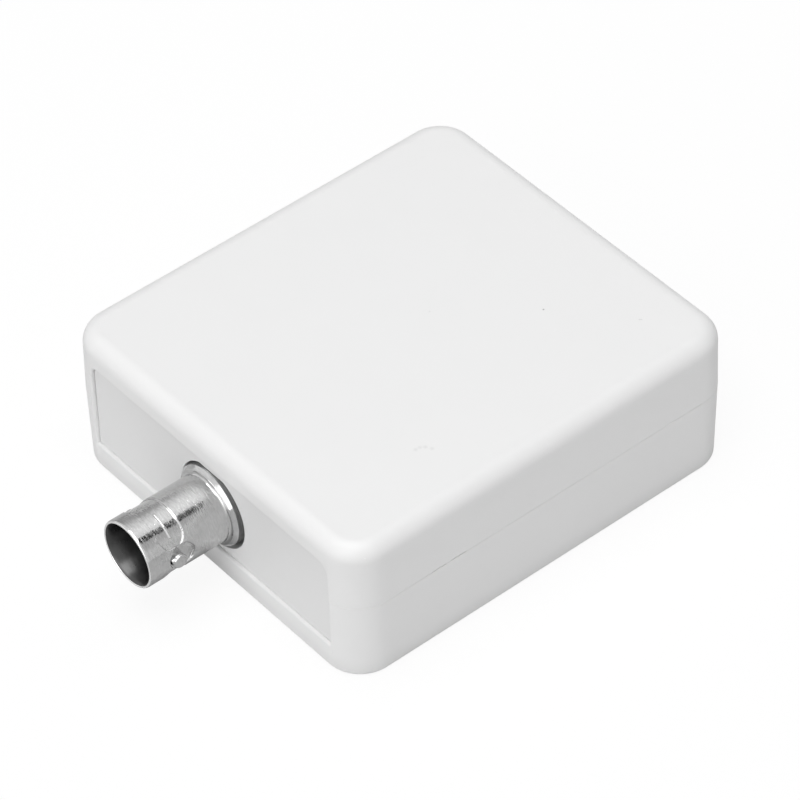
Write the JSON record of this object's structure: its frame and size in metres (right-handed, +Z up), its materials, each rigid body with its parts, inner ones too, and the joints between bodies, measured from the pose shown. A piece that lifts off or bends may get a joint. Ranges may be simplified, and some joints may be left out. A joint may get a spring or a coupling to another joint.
{
  "type": "vga to bnc converter",
  "caption": "White moulded desktop box that turns a VGA computer picture into composite video, with a bayonet BNC jack in its front end panel.",
  "frame": {"origin": "centre of the case's flat underside", "axes": "+Z up; -Y towards the BNC jack and +Y towards the VGA socket; +X to the right when the BNC jack faces the viewer"},
  "size_m": [0.0574, 0.0797, 0.0222],
  "materials": {
    "case_plastic": "fine satin white ABS",
    "panel_plastic": "fine satin white ABS",
    "jack_nickel": "nickel plated die casting with fine turning marks",
    "jack_insulator": "white fluoropolymer",
    "contact_gold": "gold flashed brass",
    "socket_steel": "bright plated drawn steel",
    "socket_plastic": "blue moulded thermoplastic",
    "post_nickel": "nickel plated hexagonal bar",
    "jack_plastic": "black moulded thermoplastic",
    "tinned_metal": "tinned",
    "screw_steel": "zinc plated",
    "board_laminate": "green solder mask on glass laminate",
    "chip_plastic": "black moulded epoxy",
    "can_aluminium": "drawn can",
    "ferrite": "dark grey ferrite",
    "ceramic": "glazed thick film"
  },
  "bodies": {
    "root": {"bnc_body": "jack_nickel", "bnc_contact": "contact_gold", "bnc_end_panel": "panel_plastic", "bnc_insulator": "jack_insulator", "bottom_case": "case_plastic", "case_screw_1": "screw_steel", "case_screw_2": "screw_steel", "case_screw_3": "screw_steel", "case_screw_4": "screw_steel", "chip_leads": "tinned_metal", "chip_resistors": "ceramic", "circuit_board": "board_laminate", "crystal_can": "can_aluminium", "encoder_chip": "chip_plastic", "input_capacitor_can": "can_aluminium", "input_capacitor_foot": "chip_plastic", "memory_chip": "chip_plastic", "output_capacitor_can": "can_aluminium", "output_capacitor_foot": "chip_plastic", "power_inductor": "ferrite", "power_jack_housing": "jack_plastic", "power_jack_pin": "tinned_metal", "power_jack_tabs": "tinned_metal", "regulator_chip": "chip_plastic", "scaler_chip": "chip_plastic", "top_cover": "case_plastic", "vga_contacts": "contact_gold", "vga_end_panel": "panel_plastic", "vga_insulator": "socket_plastic", "vga_post_1": "post_nickel", "vga_post_2": "post_nickel", "vga_shell": "socket_steel"}
  },
  "joints": []
}
